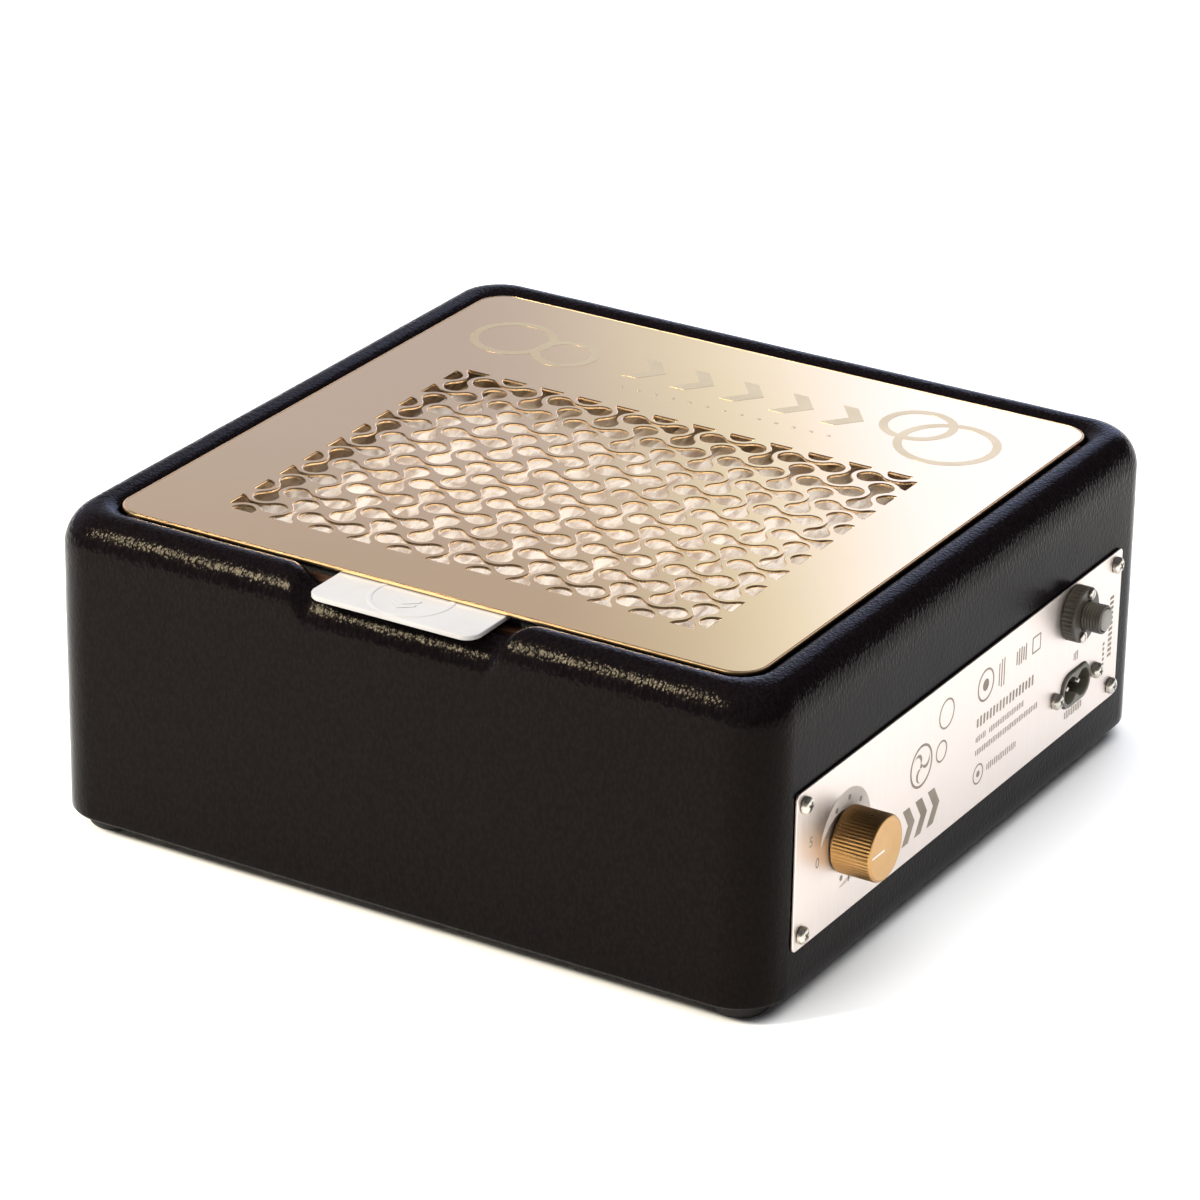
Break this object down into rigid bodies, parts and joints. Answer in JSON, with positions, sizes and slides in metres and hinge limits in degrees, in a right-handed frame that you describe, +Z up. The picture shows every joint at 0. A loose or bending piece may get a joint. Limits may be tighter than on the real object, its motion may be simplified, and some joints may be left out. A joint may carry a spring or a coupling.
{
  "type": "nail dust collector",
  "caption": "Table-top dust collector box with padded skin, pierced plate over a pleated filter, centrifugal fan, side control panel and four feet.",
  "frame": {"origin": "centre of the bounding box at the height of the feet", "axes": "+X towards the control panel on the right side, +Y towards the exhaust grille at the back, +Z up"},
  "size_m": [0.2958, 0.2824, 0.1176],
  "materials": {
    "leatherette": "pebbled satin",
    "hardboard": "matt",
    "black_plastic": "satin",
    "rubber": "matt",
    "gold_mirror": "mirror gold",
    "gold_aluminium": "fine knurled, anodised gold",
    "brushed_steel": "brushed",
    "zinc_steel": "bright",
    "white_plastic": "satin",
    "filter_cloth": "matt",
    "foam": "matt",
    "grey_plastic": "satin",
    "cast_aluminium": "cast",
    "brass": "satin",
    "wire_black": "satin",
    "wire_blue": "satin"
  },
  "bodies": {
    "casing": {"base_plate": "black_plastic", "breaker_collar": "black_plastic", "breaker_housing": "black_plastic", "breaker_spring": "zinc_steel", "collar_screw_1": "zinc_steel", "collar_screw_2": "zinc_steel", "control_panel": "brushed_steel", "deck_screw_1": "zinc_steel", "deck_screw_2": "zinc_steel", "deck_screw_3": "zinc_steel", "deck_screw_4": "zinc_steel", "exhaust_grille": "black_plastic", "fan_deck": "black_plastic", "filter_gasket": "foam", "foot_1": "rubber", "foot_2": "rubber", "foot_3": "rubber", "foot_4": "rubber", "foot_screw_1": "zinc_steel", "foot_screw_2": "zinc_steel", "foot_screw_3": "zinc_steel", "foot_screw_4": "zinc_steel", "inlet_pin_1": "zinc_steel", "inlet_pin_2": "zinc_steel", "inlet_ring": "black_plastic", "inlet_screw_1": "zinc_steel", "inlet_screw_2": "zinc_steel", "inner_case": "hardboard", "live_wire": "wire_black", "lower_bearing": "zinc_steel", "motor_cable": "wire_black", "motor_capacitor": "white_plastic", "motor_screw_1": "zinc_steel", "motor_screw_2": "zinc_steel", "motor_screw_3": "zinc_steel", "motor_stator": "cast_aluminium", "neutral_wire": "wire_blue", "panel_screw_1": "zinc_steel", "panel_screw_2": "zinc_steel", "panel_screw_3": "zinc_steel", "panel_screw_4": "zinc_steel", "pot_body": "grey_plastic", "pot_nut": "brass", "power_inlet": "black_plastic", "speed_controller": "black_plastic", "speed_lead": "wire_black", "switched_wire": "wire_black", "upholstery": "leatherette", "upper_bearing": "zinc_steel"},
    "filter": {"filter_frame": "white_plastic", "filter_media": "filter_cloth"},
    "grille": {"grille_plate": "gold_mirror"},
    "fan": {"impeller": "black_plastic", "rotor_can": "cast_aluminium", "motor_shaft": "zinc_steel"},
    "speed_knob": {"knob": "gold_aluminium", "knob_set_screw": "zinc_steel", "pot_shaft": "zinc_steel"},
    "reset_button": {"breaker_button": "grey_plastic"}
  },
  "joints": [
    {"name": "filter_lift", "type": "slide", "parent": "casing", "child": "filter", "axis": [0, 0, 1], "range_m": [0, 0.06]},
    {"name": "grille_lift", "type": "slide", "parent": "filter", "child": "grille", "axis": [0, 0, 1], "range_m": [0, 0.04]},
    {"name": "fan_spin", "type": "hinge", "parent": "casing", "child": "fan", "pos_m": [-0.00795, 0.00045, 0.045], "axis": [0, 0, 1], "continuous": true},
    {"name": "knob_turn", "type": "hinge", "parent": "casing", "child": "speed_knob", "pos_m": [0.14795, -0.08595, 0.0503], "axis": [-1, 0, 0], "range_deg": [0, 270]},
    {"name": "button_press", "type": "slide", "parent": "casing", "child": "reset_button", "axis": [-1, 0, 0], "range_m": [0, 0.0015], "stiffness_N_per_m": 1500, "springref_m": -0.001}
  ]
}
